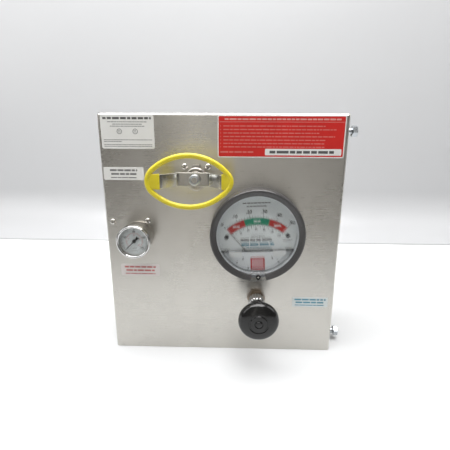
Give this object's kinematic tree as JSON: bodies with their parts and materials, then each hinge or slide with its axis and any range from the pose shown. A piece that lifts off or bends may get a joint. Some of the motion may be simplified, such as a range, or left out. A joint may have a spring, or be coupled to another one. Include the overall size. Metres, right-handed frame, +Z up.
{
  "type": "purge control unit",
  "caption": "Stainless wall box that feeds clean air to a closed cabinet, with a quarter-turn exchange valve, a needle valve, a dial gauge and a differential pressure gauge on its front.",
  "frame": {"origin": "under the middle of the whole object's box, on the surface that the unit stands on", "axes": "+Z up, -Y out of the front panel towards the user, +X to the user's right, towards the mounting studs"},
  "size_m": [0.343, 0.1908, 0.323],
  "materials": {
    "stainless_sheet": "horizontal brushed grain, satin",
    "stainless_screw": "bright turned",
    "zinc_plate": "zinc plated",
    "chrome_trim": "polished",
    "black_rubber": "matt",
    "white_label": "printed film",
    "red_label": "printed film",
    "rose_label": "printed film",
    "blue_label": "printed film",
    "brass_body": "machined",
    "nickel_body": "nickel plated, satin",
    "polished_ball": "polished",
    "white_seat": "smooth",
    "handle_steel": "satin",
    "yellow_vinyl": "dipped, soft gloss",
    "black_knob": "polished phenolic",
    "black_enamel": "satin",
    "grey_casting": "satin",
    "clear_lens": "clear",
    "white_dial": "matt",
    "black_pointer": "matt",
    "steel_spring": "bright",
    "silicone_sheet": "matt",
    "black_nylon": "moulded",
    "clear_bowl": "clear moulding",
    "white_filter": "sintered",
    "tube_steel": "drawn"
  },
  "bodies": {
    "housing": {"front_panel": "stainless_sheet", "left_wall": "stainless_sheet", "right_wall": "stainless_sheet", "rear_cover": "stainless_sheet", "pan_screws": "stainless_screw", "captive_nuts": "zinc_plate", "mounting_studs": "zinc_plate", "stud_seals": "black_rubber", "stud_nuts": "zinc_plate", "label_rating": "white_label", "label_instructions": "red_label", "label_exchange_valve": "white_label", "label_exchange_pressure": "rose_label", "label_pressure_valve": "blue_label", "exchange_valve_body": "brass_body", "exchange_valve_seats": "white_seat", "exchange_valve_bonnet": "nickel_body", "exchange_valve_bracket": "zinc_plate", "needle_valve_body": "brass_body", "needle_panel_nut": "nickel_body", "needle_valve_bonnet": "chrome_trim", "dp_case": "grey_casting", "dp_bezel": "black_enamel", "dp_lens": "clear_lens", "dp_dial": "white_dial", "dp_dial_screws": "black_pointer", "dp_movement_bracket": "white_dial", "dp_diaphragm": "silicone_sheet", "dp_range_spring": "steel_spring", "dp_clamp_ring": "zinc_plate", "gauge_case": "nickel_body", "gauge_bezel": "chrome_trim", "gauge_lens": "clear_lens", "gauge_dial": "white_dial", "gauge_bourdon_tube": "brass_body", "gauge_connector": "brass_body", "regulator_body": "grey_casting", "regulator_bonnet": "black_nylon", "regulator_bracket": "zinc_plate", "filter_head": "grey_casting", "filter_bowl": "clear_bowl", "filter_element": "white_filter", "large_tubes": "tube_steel", "small_tubes": "tube_steel", "tube_tees": "brass_body", "tube_nuts": "brass_body", "small_fittings": "brass_body", "outlet_fitting": "brass_body"},
    "exchange_handle": {"handle_bar": "handle_steel", "handle_grip": "yellow_vinyl", "handle_nut": "zinc_plate", "exchange_valve_stem": "handle_steel", "exchange_valve_ball": "polished_ball"},
    "needle_spindle": {"needle_stem": "handle_steel"},
    "pressure_knob": {"needle_knob": "black_knob"},
    "dp_pointer": {"dp_pointer": "black_pointer"},
    "exchange_pointer": {"gauge_pointer": "black_pointer"},
    "zero_screw": {"dp_zero_screw": "black_pointer"},
    "regulator_knob": {"regulator_knob": "black_nylon"},
    "bowl_drain": {"filter_drain": "black_nylon"}
  },
  "joints": [
    {"name": "exchange_valve_turn", "type": "hinge", "parent": "housing", "child": "exchange_handle", "pos_m": [-0.032, -0.06345, 0.2465], "axis": [0, -1, 0], "range_deg": [0, 90]},
    {"name": "needle_travel", "type": "slide", "parent": "housing", "child": "needle_spindle", "axis": [0, -1, 0], "range_m": [0, 0.003]},
    {"name": "pressure_knob_turn", "type": "hinge", "parent": "needle_spindle", "child": "pressure_knob", "pos_m": [0.0464, -0.08545, 0.082], "axis": [0, -1, 0], "range_deg": [0, 1080]},
    {"name": "dp_pointer_swing", "type": "hinge", "parent": "housing", "child": "dp_pointer", "pos_m": [0.04672, -0.03045, 0.13514], "axis": [0, 1, 0], "range_deg": [0, 80], "stiffness_Nm_per_rad": 0.01},
    {"name": "exchange_pointer_swing", "type": "hinge", "parent": "housing", "child": "exchange_pointer", "pos_m": [-0.1105, -0.04545, 0.1675], "axis": [0, 1, 0], "range_deg": [0, 270], "stiffness_Nm_per_rad": 0.005},
    {"name": "zero_screw_turn", "type": "hinge", "parent": "housing", "child": "zero_screw", "pos_m": [0.04736, -0.04295, 0.12035], "axis": [0, 1, 0], "range_deg": [-180, 180]},
    {"name": "regulator_knob_turn", "type": "hinge", "parent": "housing", "child": "regulator_knob", "pos_m": [-0.12, 0.03855, 0.27], "axis": [0, 0, -1], "range_deg": [0, 1440]},
    {"name": "bowl_drain_turn", "type": "hinge", "parent": "housing", "child": "bowl_drain", "pos_m": [-0.12, 0.03855, 0.03], "axis": [0, 0, -1], "range_deg": [0, 360]}
  ],
  "couplings": [
    {"joint": "needle_travel", "follows": "pressure_knob_turn", "m_per_rad": 0.00015915}
  ]
}
